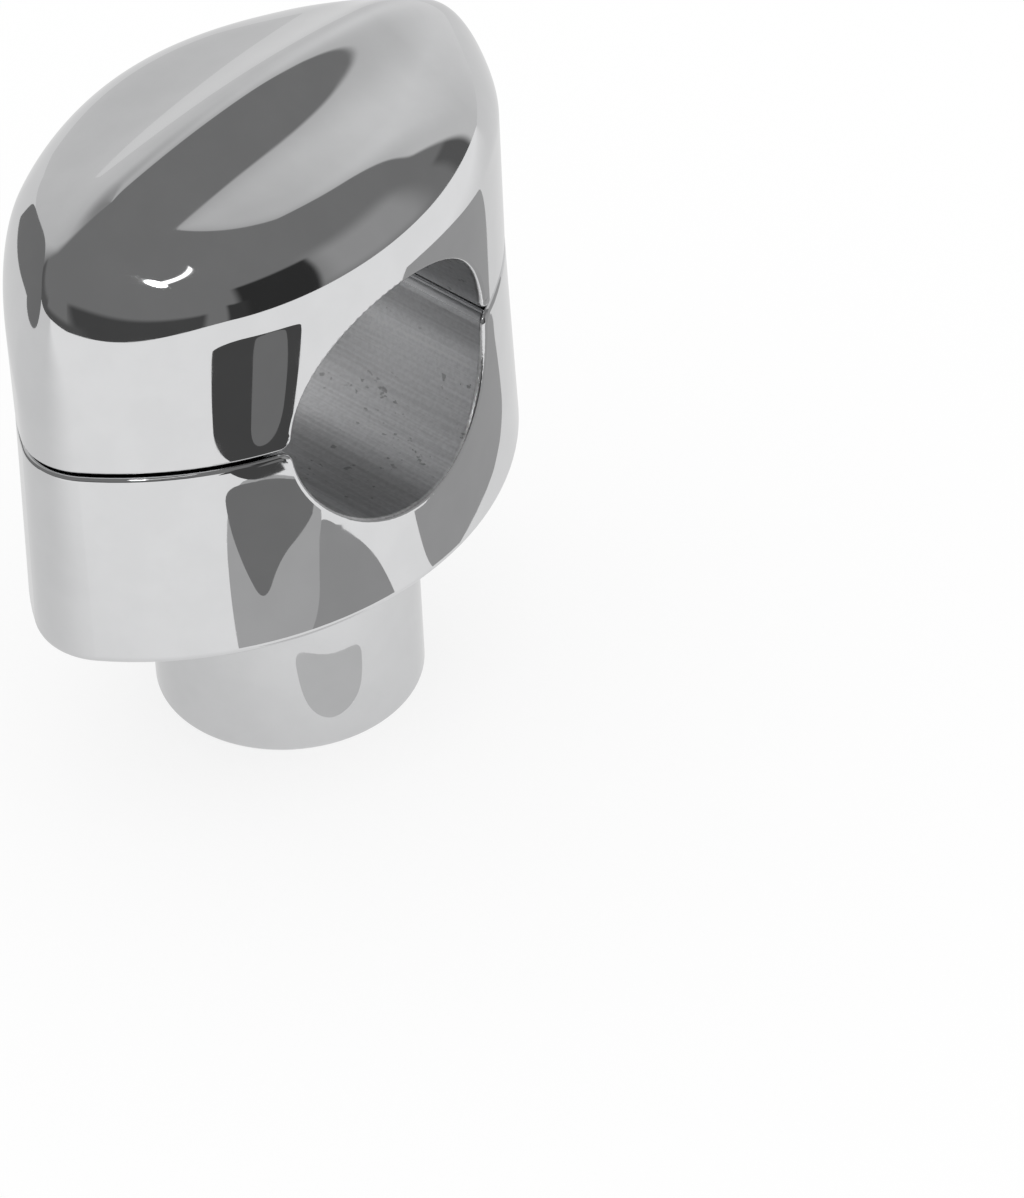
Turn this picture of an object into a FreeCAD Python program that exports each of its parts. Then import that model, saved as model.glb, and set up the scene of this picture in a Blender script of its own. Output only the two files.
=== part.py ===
"""Motorcycle bar riser: a clamp on a round boss that holds a 1 inch handlebar.

Millimetres. The origin is the centre of the boss's bottom face, +Z points up, and X is the axis of
the handlebar. Y runs along the leaf-shaped plan, through both cap screws: -Y is the front.

Seen from above, the lower casting and its cap share one outline, a leaf with two gently curved long
sides and two rounded ends. The handlebar crosses it. The cap's top has a crest along Y with a dished
flank on each side, and the whole top is crowned lengthwise.
"""
import FreeCAD, Part
import math
import os

import Sketcher

DRIVING = [
    # The handlebar and the gap that the clamp closes
    ("BarDia", 25.4, "handlebar and bore diameter"),
    ("BoreHeight", 42.8, "bore axis above the boss's bottom face"),
    ("SeamGap", 0.4, "gap between the two castings when clamped"),
    # The leaf-shaped plan at the seam
    ("PlanWidth", 37.4, "width of the plan along X"),
    ("ApexRadius", 6.6, "plan radius of the two ends"),
    ("WallDraft", 1.6, "degrees that the lower casting's wall widens downwards"),
    # The boss and its tapped hole
    ("BossDia", 26.2, "diameter of the round boss"),
    ("BossHeight", 20.9, "height of the boss below the lower casting"),
    ("MountHoleDia", 10.8, "tapped hole for the 1/2 inch riser bolt, at its drill size"),
    ("MountHoleDepth", 20.0, "full depth of that hole"),
    ("MountChamfer", 1.2, "chamfer at the mouth of that hole"),
    # The two cap screws
    ("ScrewWeb", 3.2, "metal between the bore and each screw hole"),
    ("EndReach", 9.05, "from each screw's axis to the end of the plan"),
    ("ScrewDia", 7.94, "thread diameter, 5/16 inch"),
    ("ScrewLength", 25.4, "length under the head"),
    ("HeadDia", 11.9, "diameter of the cylindrical head"),
    ("HeadHeight", 7.94, "height of the head"),
    ("SocketFlats", 6.35, "width across the flats of the hexagon socket"),
    ("SocketDepth", 4.0, "depth of the socket"),
    ("HoleClearance", 0.08, "radial clearance of a screw in the lower casting"),
    ("ThreadClearance", 0.05, "radial clearance of a screw in the cap's tapped hole"),
    ("CounterboreDia", 13.0, "diameter of the counterbore for the head"),
    ("HeadRecess", 0.7, "depth of the head below the casting's underside"),
    ("TapDepth", 15.0, "full depth of the cap's tapped holes"),
    ("HoleChamfer", 0.3, "small chamfer at the mouths of the screw holes"),
    # The two split lock washers
    ("WasherThickness", 2.0, "thickness of a closed lock washer"),
    ("WasherDia", 12.0, "outer diameter of a lock washer"),
    ("WasherSplit", 1.0, "width of the slanted split"),
    ("SplitSlant", 25.0, "degrees that the split leans"),
    # The cap's top
    ("CrestHeight", 25.8, "crest above the bore axis at its highest place, before it is rounded"),
    ("CrestSlope", 37.0, "degrees that each flank falls beside the crest"),
    ("DishRadius", 30.0, "radius of each dished flank across the cap"),
    ("CrownRadius", 110.0, "radius of the crest along the cap"),
    ("CrownShift", 4.0, "the crest's highest place, behind the middle"),
    ("FrontNoseRadius", 11.0, "side-view radius where the crest runs down to the front wall"),
    ("RearNoseRadius", 16.0, "the same at the rear"),
    ("FrontNoseEnd", 15.0, "height above the bore axis where the front nose meets the end wall"),
    ("RearNoseEnd", 17.5, "the same at the rear"),
    # Rounded edges
    ("GrooveEdgeRadius", 1.4, "edges between the bore and the flat lands"),
    ("LandEdgeRadius", 0.5, "edges of the lands and of the bore's two mouths"),
    ("BottomEdgeRadius", 1.0, "bottom edge of the lower casting"),
    ("BossEdgeRadius", 0.6, "bottom edge of the boss"),
    ("TopEdgeRadius", 3.2, "the crest and the edge between the cap's top and its wall"),
    ("HeadEdgeRadius", 0.6, "edge of a screw's head"),
]

THREAD_TIP = 1.0        # chamfer at a screw's tip
DRILL_POINT = 59.0      # half of the drill's point angle, in degrees
CUT_MARGIN = 2.0        # how far a cutting profile reaches past what it cuts
CROWN_TURN = 52.0       # degrees that the top's cutting profile is turned, more than the cap spans
OVERLAP = 1.0           # how far one feature reaches into the next, so that they join or cut cleanly
SAME = 1e-6             # two measures closer than this count as equal
DRAWN_SIZE = 10.0       # size of a shape when it is first drawn, before its constraints set it

doc = FreeCAD.newDocument("bar_riser")
sheet = doc.addObject("Spreadsheet::Sheet", "Sizes")
value = {}
for row, (alias, number, note) in enumerate(DRIVING, start=1):
    sheet.set("A%d" % row, alias)
    sheet.set("B%d" % row, str(number))
    sheet.setAlias("B%d" % row, alias)
    sheet.set("C%d" % row, note)
    value[alias] = number
doc.recompute()


def cell(text):
    """An expression in which each size's name is bound to its cell."""
    for alias in sorted(value, key=len, reverse=True):
        text = text.replace("<%s>" % alias, "Sizes.%s" % alias)
    return text


SCREW_PLACE = "(<BarDia> / 2 + <ScrewWeb> + <ScrewDia> / 2 + <HoleClearance>)"
HALF_LENGTH = "(" + SCREW_PLACE + " + <EndReach>)"
SIDE_RADIUS = ("((" + HALF_LENGTH + " - <ApexRadius>) ^ 2 / (<PlanWidth> / 2 - <ApexRadius>)"
               " + <ApexRadius> + <PlanWidth> / 2) / 2")
HEAD_SEAT = "(<BossHeight> + <HeadRecess> + <HeadHeight>)"


def screw_place_value():
    """Distance of each screw's axis from the middle."""
    return value["BarDia"] / 2 + value["ScrewWeb"] + value["ScrewDia"] / 2 + value["HoleClearance"]


def half_length_value():
    """Half of the plan's length along Y."""
    return screw_place_value() + value["EndReach"]


def side_radius_value():
    """Radius of the long sides that meets both the plan's width and its rounded ends."""
    reach = half_length_value() - value["ApexRadius"]
    half_width = value["PlanWidth"] / 2
    return (reach ** 2 / (half_width - value["ApexRadius"]) + value["ApexRadius"] + half_width) / 2


def new_body(label):
    body = doc.addObject("PartDesign::Body", label)
    body.Label = label
    return body


def origin_plane(body, role):
    return next(part for part in body.Origin.OriginFeatures if part.Role == role)


def new_sketch(body, name, role, offset="0"):
    """A sketch on one of the body's origin planes, moved along that plane's normal."""
    sketch = body.newObject("Sketcher::SketchObject", name)
    sketch.AttachmentSupport = [(origin_plane(body, role), "")]
    sketch.MapMode = "FlatFace"
    sketch.setExpression("AttachmentOffset.Base.z", cell(offset))
    return sketch


def vector(x, y):
    return FreeCAD.Vector(x, y, 0)


def bind(sketch, constraint, name, expression):
    """Add a named constraint whose value is worked out from the sheet."""
    index = sketch.addConstraint(constraint)
    sketch.renameConstraint(index, name)
    sketch.setExpression("Constraints." + name, cell(expression))
    return index


def draw_plan(sketch):
    """The leaf: two long side arcs and two end arcs, tangent to each other."""
    side = side_radius_value()
    end = value["ApexRadius"]
    side_x = side - value["PlanWidth"] / 2
    end_y = half_length_value() - end
    turn = math.atan2(end_y, side_x)
    arcs = [
        (vector(-side_x, 0), side, -turn, turn),
        (vector(0, end_y), end, turn, math.pi - turn),
        (vector(side_x, 0), side, math.pi - turn, math.pi + turn),
        (vector(0, -end_y), end, math.pi + turn, 2 * math.pi - turn),
    ]
    for centre, radius, start, stop in arcs:
        circle = Part.Circle(centre, FreeCAD.Vector(0, 0, 1), radius)
        sketch.addGeometry(Part.ArcOfCircle(circle, start, stop), False)
    for number in range(3):
        sketch.addConstraint(Sketcher.Constraint("Tangent", number, 2, number + 1, 1))
    sketch.addConstraint(Sketcher.Constraint("Coincident", 3, 2, 0, 1))
    for number, axis in ((0, -1), (2, -1), (1, -2)):
        sketch.addConstraint(Sketcher.Constraint("PointOnObject", number, 3, axis))
    sketch.addConstraint(Sketcher.Constraint("Equal", 1, 3))
    sketch.addConstraint(Sketcher.Constraint("Equal", 0, 2))
    bind(sketch, Sketcher.Constraint("Radius", 1, end), "EndRadius", "<ApexRadius>")
    bind(sketch, Sketcher.Constraint("Radius", 0, side), "SideRadius", SIDE_RADIUS)
    bind(sketch, Sketcher.Constraint("DistanceY", -1, 1, 1, 3, end_y), "EndReach",
         HALF_LENGTH + " - <ApexRadius>")


def draw_circle(sketch, name, diameter, place=None):
    """A circle of a bound diameter, at the origin or on the Y axis at a bound distance."""
    number = sketch.GeometryCount
    sign = place[0] if place else 0
    centre = vector(0, DRAWN_SIZE * sign)
    sketch.addGeometry(Part.Circle(centre, FreeCAD.Vector(0, 0, 1), DRAWN_SIZE / 2), False)
    bind(sketch, Sketcher.Constraint("Diameter", number, DRAWN_SIZE), name + "Dia", diameter)
    if place is None:
        sketch.addConstraint(Sketcher.Constraint("Coincident", number, 3, -1, 1))
        return
    sketch.addConstraint(Sketcher.Constraint("PointOnObject", number, 3, -2))
    ends = (-1, 1, number, 3) if sign > 0 else (number, 3, -1, 1)
    bind(sketch, Sketcher.Constraint("DistanceY", *ends, DRAWN_SIZE), name + "Place", place[1])


def draw_profile(sketch, points, names):
    """A closed outline of straight lines. Each point is (x, y) with bound texts for x and y.

    A coordinate whose text is None lies on the axis. names gives each point's own name.
    """
    spots = [vector(point[0], point[1]) for point in points]
    count = len(points)
    for number in range(count):
        sketch.addGeometry(Part.LineSegment(spots[number], spots[(number + 1) % count]), False)
    for number in range(count):
        sketch.addConstraint(Sketcher.Constraint("Coincident", number, 2, (number + 1) % count, 1))
    for number, point in enumerate(points):
        for kind, position, text, axis in (("DistanceX", point[0], point[2], -2),
                                           ("DistanceY", point[1], point[3], -1)):
            if text is None:
                sketch.addConstraint(Sketcher.Constraint("PointOnObject", number, 1, axis))
                continue
            ends = (-1, 1, number, 1) if position > 0 else (number, 1, -1, 1)
            bind(sketch, Sketcher.Constraint(kind, *ends, abs(position)),
                 names[number] + kind[-1], text)


def pick_edges(shape, test):
    return ["Edge%d" % number for number, edge in enumerate(shape.Edges, start=1) if test(edge)]


def round_edges(body, name, test, size, kind="Fillet"):
    """Round or chamfer the edges that pass the test, by a size from the sheet."""
    doc.recompute()
    base = body.Tip
    feature = body.newObject("PartDesign::" + kind, name)
    feature.Base = (base, pick_edges(base.Shape, test))
    feature.setExpression("Radius" if kind == "Fillet" else "Size", cell(size))
    body.Tip = feature
    return feature


def mirror_in_y(body, name, feature):
    """Repeat a feature on the other side of the XZ plane."""
    doc.recompute()
    mirrored = body.newObject("PartDesign::Mirrored", name)
    mirrored.Originals = [feature]
    mirrored.MirrorPlane = (origin_plane(body, "XZ_Plane"), [""])
    body.Tip = mirrored
    return mirrored


def drilled_hole(body, name, dia, depth, level, side):
    """A blind hole upwards from a level, with the drill's cone at its end.

    side is the bound distance from the Z axis along -Y, or None for a hole on the Z axis.
    """
    sketch = new_sketch(body, name + "_profile", "XZ_Plane", side or "0")
    sketch.setExpression("AttachmentOffset.Base.y", cell(level))
    cone = "(%s) / 2 / tan(%.1f)" % (dia, DRILL_POINT)
    draw_profile(sketch, [
        (0, -CUT_MARGIN, None, "%.1f" % CUT_MARGIN),
        (DRAWN_SIZE / 2, -CUT_MARGIN, "(%s) / 2" % dia, "%.1f" % CUT_MARGIN),
        (DRAWN_SIZE / 2, DRAWN_SIZE, "(%s) / 2" % dia, depth),
        (0, 1.5 * DRAWN_SIZE, None, "%s + %s" % (depth, cone)),
    ], ["Start", "Wall", "Shoulder", "Point"])
    groove = body.newObject("PartDesign::Groove", name)
    groove.Profile = sketch
    groove.ReferenceAxis = (sketch, ["V_Axis"])
    groove.Angle = 360
    body.Tip = groove
    return groove


def bar_bore(body):
    """The half round groove for the handlebar, right through along X."""
    sketch = new_sketch(body, "bore_profile", "YZ_Plane")
    sketch.setExpression("AttachmentOffset.Base.y", cell("<BoreHeight>"))
    draw_circle(sketch, "Bore", "<BarDia>")
    pocket = body.newObject("PartDesign::Pocket", "bar_bore")
    pocket.Profile = sketch
    pocket.Type = "ThroughAll"
    pocket.Midplane = True
    body.Tip = pocket


def land_tests(land_z):
    """Tests for the edges beside the bore and for the loop round land and bore mouths."""
    bore_radius = value["BarDia"] / 2
    half_width = value["PlanWidth"] / 2

    def beside_bore(edge):
        box = edge.BoundBox
        return (box.ZLength < SAME and abs(box.ZMin - land_z) < SAME and box.YLength < SAME
                and abs(box.YMin) < bore_radius + 0.5 and box.XLength > half_width)

    def in_loop(edge):
        box = edge.BoundBox
        middle = edge.valueAt((edge.FirstParameter + edge.LastParameter) / 2)
        on_land = box.ZLength < SAME and abs(box.ZMin - land_z) < SAME
        if on_land:
            hole = abs(abs(middle.y) - screw_place_value()) < value["ScrewDia"]
            return box.XLength > 0.2 and not (box.YLength < SAME) and not (
                hole and box.XLength < value["ScrewDia"] * 1.5 and box.YLength < value["ScrewDia"] * 1.5
                and abs(middle.x) < value["ScrewDia"])
        radius = math.hypot(middle.y, middle.z - value["BoreHeight"])
        near_bore = radius < bore_radius + value["GrooveEdgeRadius"] + 0.3
        return near_bore and box.XLength < half_width / 2 and abs(middle.x) > half_width / 2

    return beside_bore, in_loop


def plane_circle(z, diameter):
    """A test for round edges of one diameter, or arcs of it, lying flat at one height."""
    def test(edge):
        box = edge.BoundBox
        round_edge = isinstance(edge.Curve, Part.Circle)
        return (round_edge and box.ZLength < SAME and abs(box.ZMin - z) < SAME
                and abs(edge.Curve.Radius - diameter / 2) < SAME)
    return test


def make_riser_body():
    """The lower casting: block, boss, lower half of the bore and the holes from below."""
    body = new_body("riser_body")
    land_z = value["BoreHeight"] - value["SeamGap"] / 2
    block_plan = new_sketch(body, "block_plan", "XY_Plane", "<BoreHeight> - <SeamGap> / 2")
    draw_plan(block_plan)
    block = body.newObject("PartDesign::Pad", "block")
    block.Profile = block_plan
    block.Reversed = True
    block.setExpression("Length", cell("<BoreHeight> - <SeamGap> / 2 - <BossHeight>"))
    block.setExpression("TaperAngle", cell("<WallDraft>"))
    boss_plan = new_sketch(body, "boss_plan", "XY_Plane")
    draw_circle(boss_plan, "Boss", "<BossDia>")
    boss = body.newObject("PartDesign::Pad", "boss")
    boss.Profile = boss_plan
    boss.setExpression("Length", cell("<BossHeight> + %.1f" % OVERLAP))
    round_edges(body, "bottom_edge", lambda edge: abs(edge.BoundBox.ZMin - value["BossHeight"]) < SAME
                and edge.BoundBox.ZLength < SAME and edge.Length > 4 and not isinstance(edge.Curve, Part.Line)
                and math.hypot(*edge.valueAt(edge.FirstParameter)[:2]) > value["BossDia"] / 2 + 1,
                "<BottomEdgeRadius>")
    bar_bore(body)
    beside_bore, in_loop = land_tests(land_z)
    round_edges(body, "groove_edges", beside_bore, "<GrooveEdgeRadius>")
    round_edges(body, "land_edges", in_loop, "<LandEdgeRadius>")

    holes_plan = new_sketch(body, "screw_holes_plan", "XY_Plane", "<BoreHeight>")
    for sign, name in ((-1, "Front"), (1, "Rear")):
        draw_circle(holes_plan, name, "<ScrewDia> + 2 * <HoleClearance>", (sign, SCREW_PLACE))
    holes = body.newObject("PartDesign::Pocket", "screw_holes")
    holes.Profile = holes_plan
    holes.Type = "ThroughAll"
    body.Tip = holes
    bores_plan = new_sketch(body, "counterbores_plan", "XY_Plane", "<BossHeight> - %.1f" % OVERLAP)
    for sign, name in ((-1, "Front"), (1, "Rear")):
        draw_circle(bores_plan, name, "<CounterboreDia>", (sign, SCREW_PLACE))
    bores = body.newObject("PartDesign::Pocket", "counterbores")
    bores.Profile = bores_plan
    bores.Reversed = True
    bores.setExpression("Length", cell("<HeadRecess> + <HeadHeight> + <WasherThickness> + %.1f" % OVERLAP))
    body.Tip = bores
    hole_dia = value["ScrewDia"] + 2 * value["HoleClearance"]
    at_land = plane_circle(land_z, hole_dia)
    at_bottom = plane_circle(value["BossHeight"], value["CounterboreDia"])
    round_edges(body, "screw_hole_chamfers", lambda edge: at_land(edge) or at_bottom(edge),
                "<HoleChamfer>", "Chamfer")
    drilled_hole(body, "mount_hole", "<MountHoleDia>", "<MountHoleDepth>", "0", None)
    round_edges(body, "mount_chamfer", plane_circle(0, value["MountHoleDia"]), "<MountChamfer>", "Chamfer")
    round_edges(body, "boss_edge", plane_circle(0, value["BossDia"]), "<BossEdgeRadius>")
    return body


def draw_flanks(sketch):
    """The space above the cap's two dished flanks, from the crest outwards and up."""
    slope = math.radians(value["CrestSlope"])
    dish = value["DishRadius"]
    centre_x = dish * math.sin(slope)
    centre_y = dish * math.cos(slope)
    reach = value["PlanWidth"] / 2 + CUT_MARGIN
    drop = centre_y - math.sqrt(dish ** 2 - (reach - centre_x) ** 2)
    height = 4 * CUT_MARGIN
    for side in (1, -1):
        centre = vector(side * centre_x, centre_y)
        first = math.atan2(-centre_y, -side * centre_x)
        last = math.atan2(drop - centre_y, side * (reach - centre_x))
        circle = Part.Circle(centre, FreeCAD.Vector(0, 0, 1), dish)
        sketch.addGeometry(Part.ArcOfCircle(circle, min(first, last), max(first, last)), False)
    crest_ends = (1, 2)
    rim_ends = (2, 1)
    for arc, side in ((0, 1), (1, -1)):
        sketch.addConstraint(Sketcher.Constraint("Coincident", arc, crest_ends[arc], -1, 1))
        ends = (-1, 1, arc, 3) if side > 0 else (arc, 3, -1, 1)
        name = "Right" if side > 0 else "Left"
        bind(sketch, Sketcher.Constraint("DistanceX", *ends, centre_x), name + "Across",
             "<DishRadius> * sin(<CrestSlope>)")
        bind(sketch, Sketcher.Constraint("DistanceY", -1, 1, arc, 3, centre_y), name + "Up",
             "<DishRadius> * cos(<CrestSlope>)")
        ends = (-1, 1, arc, rim_ends[arc]) if side > 0 else (arc, rim_ends[arc], -1, 1)
        bind(sketch, Sketcher.Constraint("DistanceX", *ends, reach), name + "Reach",
             "<PlanWidth> / 2 + %.1f" % CUT_MARGIN)
    corners = [vector(reach, drop), vector(reach, height), vector(-reach, height), vector(-reach, drop)]
    for number in range(3):
        sketch.addGeometry(Part.LineSegment(corners[number], corners[number + 1]), False)
    sketch.addConstraint(Sketcher.Constraint("Coincident", 0, rim_ends[0], 2, 1))
    sketch.addConstraint(Sketcher.Constraint("Coincident", 2, 2, 3, 1))
    sketch.addConstraint(Sketcher.Constraint("Coincident", 3, 2, 4, 1))
    sketch.addConstraint(Sketcher.Constraint("Coincident", 4, 2, 1, rim_ends[1]))
    sketch.addConstraint(Sketcher.Constraint("Vertical", 2))
    sketch.addConstraint(Sketcher.Constraint("Horizontal", 3))
    sketch.addConstraint(Sketcher.Constraint("Vertical", 4))
    sketch.addConstraint(Sketcher.Constraint("DistanceY", -1, 1, 2, 2, height))
    low = -value["CrownRadius"]
    axis = Part.LineSegment(vector(-DRAWN_SIZE, low), vector(DRAWN_SIZE, low))
    line = sketch.addGeometry(axis, True)
    sketch.addConstraint(Sketcher.Constraint("Symmetric", line, 1, line, 2, -2))
    sketch.addConstraint(Sketcher.Constraint("DistanceX", line, 1, line, 2, 2 * DRAWN_SIZE))
    bind(sketch, Sketcher.Constraint("DistanceY", line, 1, -1, 1, value["CrownRadius"]), "Crown",
         "<CrownRadius>")


def draw_nose(sketch, side, name):
    """The space above one nose, seen from the side: outside an arc that leaves the crest smoothly."""
    radius = value[name + "Radius"]
    crown = value["CrownRadius"]
    crown_y = value["CrownShift"]
    crown_z = value["CrestHeight"] - crown
    end_y = side * half_length_value()
    end_z = value[name + "End"]
    reach = math.hypot(end_y - crown_y, end_z - crown_z)
    along = ((crown - radius) ** 2 - radius ** 2 + reach ** 2) / (2 * reach)
    aside = side * math.sqrt((crown - radius) ** 2 - along ** 2)
    unit_y = (end_y - crown_y) / reach
    unit_z = (end_z - crown_z) / reach
    centre = vector(crown_y + unit_y * along - unit_z * aside, crown_z + unit_z * along + unit_y * aside)
    lean = math.atan2(centre.x - crown_y, centre.y - crown_z)
    leave = vector(crown_y + crown * math.sin(lean), crown_z + crown * math.cos(lean))
    at_end = math.atan2(end_z - centre.y, end_y - centre.x)
    at_crest = math.atan2(leave.y - centre.y, leave.x - centre.x)
    if side < 0:
        at_end %= 2 * math.pi
    out_y = end_y + side * CUT_MARGIN
    roof_z = value["CrestHeight"] + CUT_MARGIN
    circle = Part.Circle(centre, FreeCAD.Vector(0, 0, 1), radius)
    sketch.addGeometry(Part.ArcOfCircle(circle, min(at_end, at_crest), max(at_end, at_crest)), False)
    corners = [vector(end_y, end_z), vector(out_y, end_z), vector(out_y, roof_z),
               vector(leave.x, roof_z), leave]
    for number in range(4):
        sketch.addGeometry(Part.LineSegment(corners[number], corners[number + 1]), False)
    wall_point, crest_point = (1, 2) if side > 0 else (2, 1)
    sketch.addConstraint(Sketcher.Constraint("Coincident", 0, wall_point, 1, 1))
    for number in range(1, 4):
        sketch.addConstraint(Sketcher.Constraint("Coincident", number, 2, number + 1, 1))
    sketch.addConstraint(Sketcher.Constraint("Coincident", 4, 2, 0, crest_point))
    for number, kind in ((1, "Horizontal"), (2, "Vertical"), (3, "Horizontal"), (4, "Vertical")):
        sketch.addConstraint(Sketcher.Constraint(kind, number))
    crest = sketch.addGeometry(Part.Circle(vector(crown_y, crown_z), FreeCAD.Vector(0, 0, 1), crown), True)
    bind(sketch, Sketcher.Constraint("Radius", crest, crown), "Crown", "<CrownRadius>")
    bind(sketch, Sketcher.Constraint("DistanceX", -1, 1, crest, 3, crown_y), "CrownAcross", "<CrownShift>")
    bind(sketch, Sketcher.Constraint("DistanceY", crest, 3, -1, 1, -crown_z), "CrownDown",
         "<CrownRadius> - <CrestHeight>")
    bind(sketch, Sketcher.Constraint("Radius", 0, radius), "Nose", "<%sRadius>" % name)
    ends = (-1, 1, 0, wall_point) if side > 0 else (0, wall_point, -1, 1)
    bind(sketch, Sketcher.Constraint("DistanceX", *ends, abs(end_y)), "EndAcross", HALF_LENGTH)
    bind(sketch, Sketcher.Constraint("DistanceY", -1, 1, 0, wall_point, end_z), "EndUp", "<%sEnd>" % name)
    sketch.addConstraint(Sketcher.Constraint("Tangent", 0, crest_point, crest))
    ends = (0, wall_point, 1, 2) if side > 0 else (1, 2, 0, wall_point)
    sketch.addConstraint(Sketcher.Constraint("DistanceX", *ends, CUT_MARGIN))
    bind(sketch, Sketcher.Constraint("DistanceY", -1, 1, 2, 2, roof_z), "Roof",
         "<CrestHeight> + %.1f" % CUT_MARGIN)


def round_nose(body, name, side, sizes):
    """Cut one end of the crest along a side-view arc, right across the cap."""
    sketch = new_sketch(body, name + "_profile", "YZ_Plane")
    sketch.setExpression("AttachmentOffset.Base.y", cell("<BoreHeight>"))
    draw_nose(sketch, side, sizes)
    pocket = body.newObject("PartDesign::Pocket", name)
    pocket.Profile = sketch
    pocket.Type = "ThroughAll"
    pocket.Midplane = True
    body.Tip = pocket


def make_clamp_cap():
    """The upper casting: upper half of the bore, blind tapped holes and the crested top."""
    body = new_body("clamp_cap")
    land_z = value["BoreHeight"] + value["SeamGap"] / 2
    plan = new_sketch(body, "cap_plan", "XY_Plane", "<BoreHeight> + <SeamGap> / 2")
    draw_plan(plan)
    blank = body.newObject("PartDesign::Pad", "cap_blank")
    blank.Profile = plan
    blank.setExpression("Length", cell("<CrestHeight> + %.1f" % OVERLAP))
    flanks = new_sketch(body, "flanks_profile", "XZ_Plane", "-<CrownShift>")
    flanks.setExpression("AttachmentOffset.Base.y", cell("<BoreHeight> + <CrestHeight>"))
    draw_flanks(flanks)
    top = body.newObject("PartDesign::Groove", "crested_top")
    top.Profile = flanks
    top.ReferenceAxis = (flanks, ["Axis0"])
    top.Angle = CROWN_TURN
    top.Midplane = True
    body.Tip = top

    round_nose(body, "front_nose", -1, "FrontNose")
    round_nose(body, "rear_nose", 1, "RearNose")
    rim_level = value["BoreHeight"] + value["BarDia"] / 2

    def on_top(edge):
        return edge.BoundBox.ZMin > rim_level

    round_edges(body, "top_edges", on_top, "<TopEdgeRadius>")
    bar_bore(body)
    beside_bore, in_loop = land_tests(land_z)
    round_edges(body, "groove_edges", beside_bore, "<GrooveEdgeRadius>")
    round_edges(body, "land_edges", in_loop, "<LandEdgeRadius>")
    hole_dia = "<ScrewDia> + 2 * <ThreadClearance>"
    front = drilled_hole(body, "tapped_hole", hole_dia, "<TapDepth>",
                         "<BoreHeight> + <SeamGap> / 2", SCREW_PLACE)
    mirror_in_y(body, "tapped_holes", front)
    round_edges(body, "tapped_chamfers",
                plane_circle(land_z, value["ScrewDia"] + 2 * value["ThreadClearance"]),
                "<HoleChamfer>", "Chamfer")
    return body


def make_screw(label, sign):
    """A socket-head cap screw, pointing up, with its bearing face at its own origin."""
    body = new_body(label)
    profile = new_sketch(body, "screw_profile", "XZ_Plane")
    head = value["HeadDia"] / 2
    shank = value["ScrewDia"] / 2
    length = value["ScrewLength"]
    height = value["HeadHeight"]
    draw_profile(profile, [
        (0, -height, None, "<HeadHeight>"),
        (head, -height, "<HeadDia> / 2", "<HeadHeight>"),
        (head, 0, "<HeadDia> / 2", None),
        (shank, 0, "<ScrewDia> / 2", None),
        (shank, length - THREAD_TIP, "<ScrewDia> / 2", "<ScrewLength> - %.1f" % THREAD_TIP),
        (shank - THREAD_TIP, length, "<ScrewDia> / 2 - %.1f" % THREAD_TIP, "<ScrewLength>"),
        (0, length, None, "<ScrewLength>"),
    ], ["HeadMiddle", "HeadCorner", "Bearing", "Shoulder", "TipEdge", "TipCorner", "TipMiddle"])
    turned = body.newObject("PartDesign::Revolution", "turned_screw")
    turned.Profile = profile
    turned.ReferenceAxis = (profile, ["V_Axis"])
    turned.Angle = 360
    body.Tip = turned
    round_edges(body, "head_edge", plane_circle(-height, value["HeadDia"]), "<HeadEdgeRadius>")
    socket_plan = new_sketch(body, "socket_plan", "XY_Plane", "-<HeadHeight>")
    corner = value["SocketFlats"] / math.sqrt(3)
    spots = [vector(corner * math.cos(math.radians(60 * step)), corner * math.sin(math.radians(60 * step)))
             for step in range(6)]
    for step in range(6):
        socket_plan.addGeometry(Part.LineSegment(spots[step], spots[(step + 1) % 6]), False)
    rim = socket_plan.addGeometry(Part.Circle(vector(0, 0), FreeCAD.Vector(0, 0, 1), corner), True)
    for step in range(6):
        socket_plan.addConstraint(Sketcher.Constraint("Coincident", step, 2, (step + 1) % 6, 1))
        socket_plan.addConstraint(Sketcher.Constraint("PointOnObject", step, 1, rim))
    for step in range(5):
        socket_plan.addConstraint(Sketcher.Constraint("Equal", step, step + 1))
    socket_plan.addConstraint(Sketcher.Constraint("Coincident", rim, 3, -1, 1))
    socket_plan.addConstraint(Sketcher.Constraint("PointOnObject", 0, 1, -1))
    bind(socket_plan, Sketcher.Constraint("Radius", rim, corner), "Corner", "<SocketFlats> / sqrt(3)")
    socket = body.newObject("PartDesign::Pocket", "hexagon_socket")
    socket.Profile = socket_plan
    socket.Reversed = True
    socket.setExpression("Length", cell("<SocketDepth>"))
    body.Tip = socket
    body.setExpression("Placement.Base.y", cell("%d * %s" % (sign, SCREW_PLACE)))
    body.setExpression("Placement.Base.z", cell(HEAD_SEAT))
    return body


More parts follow.
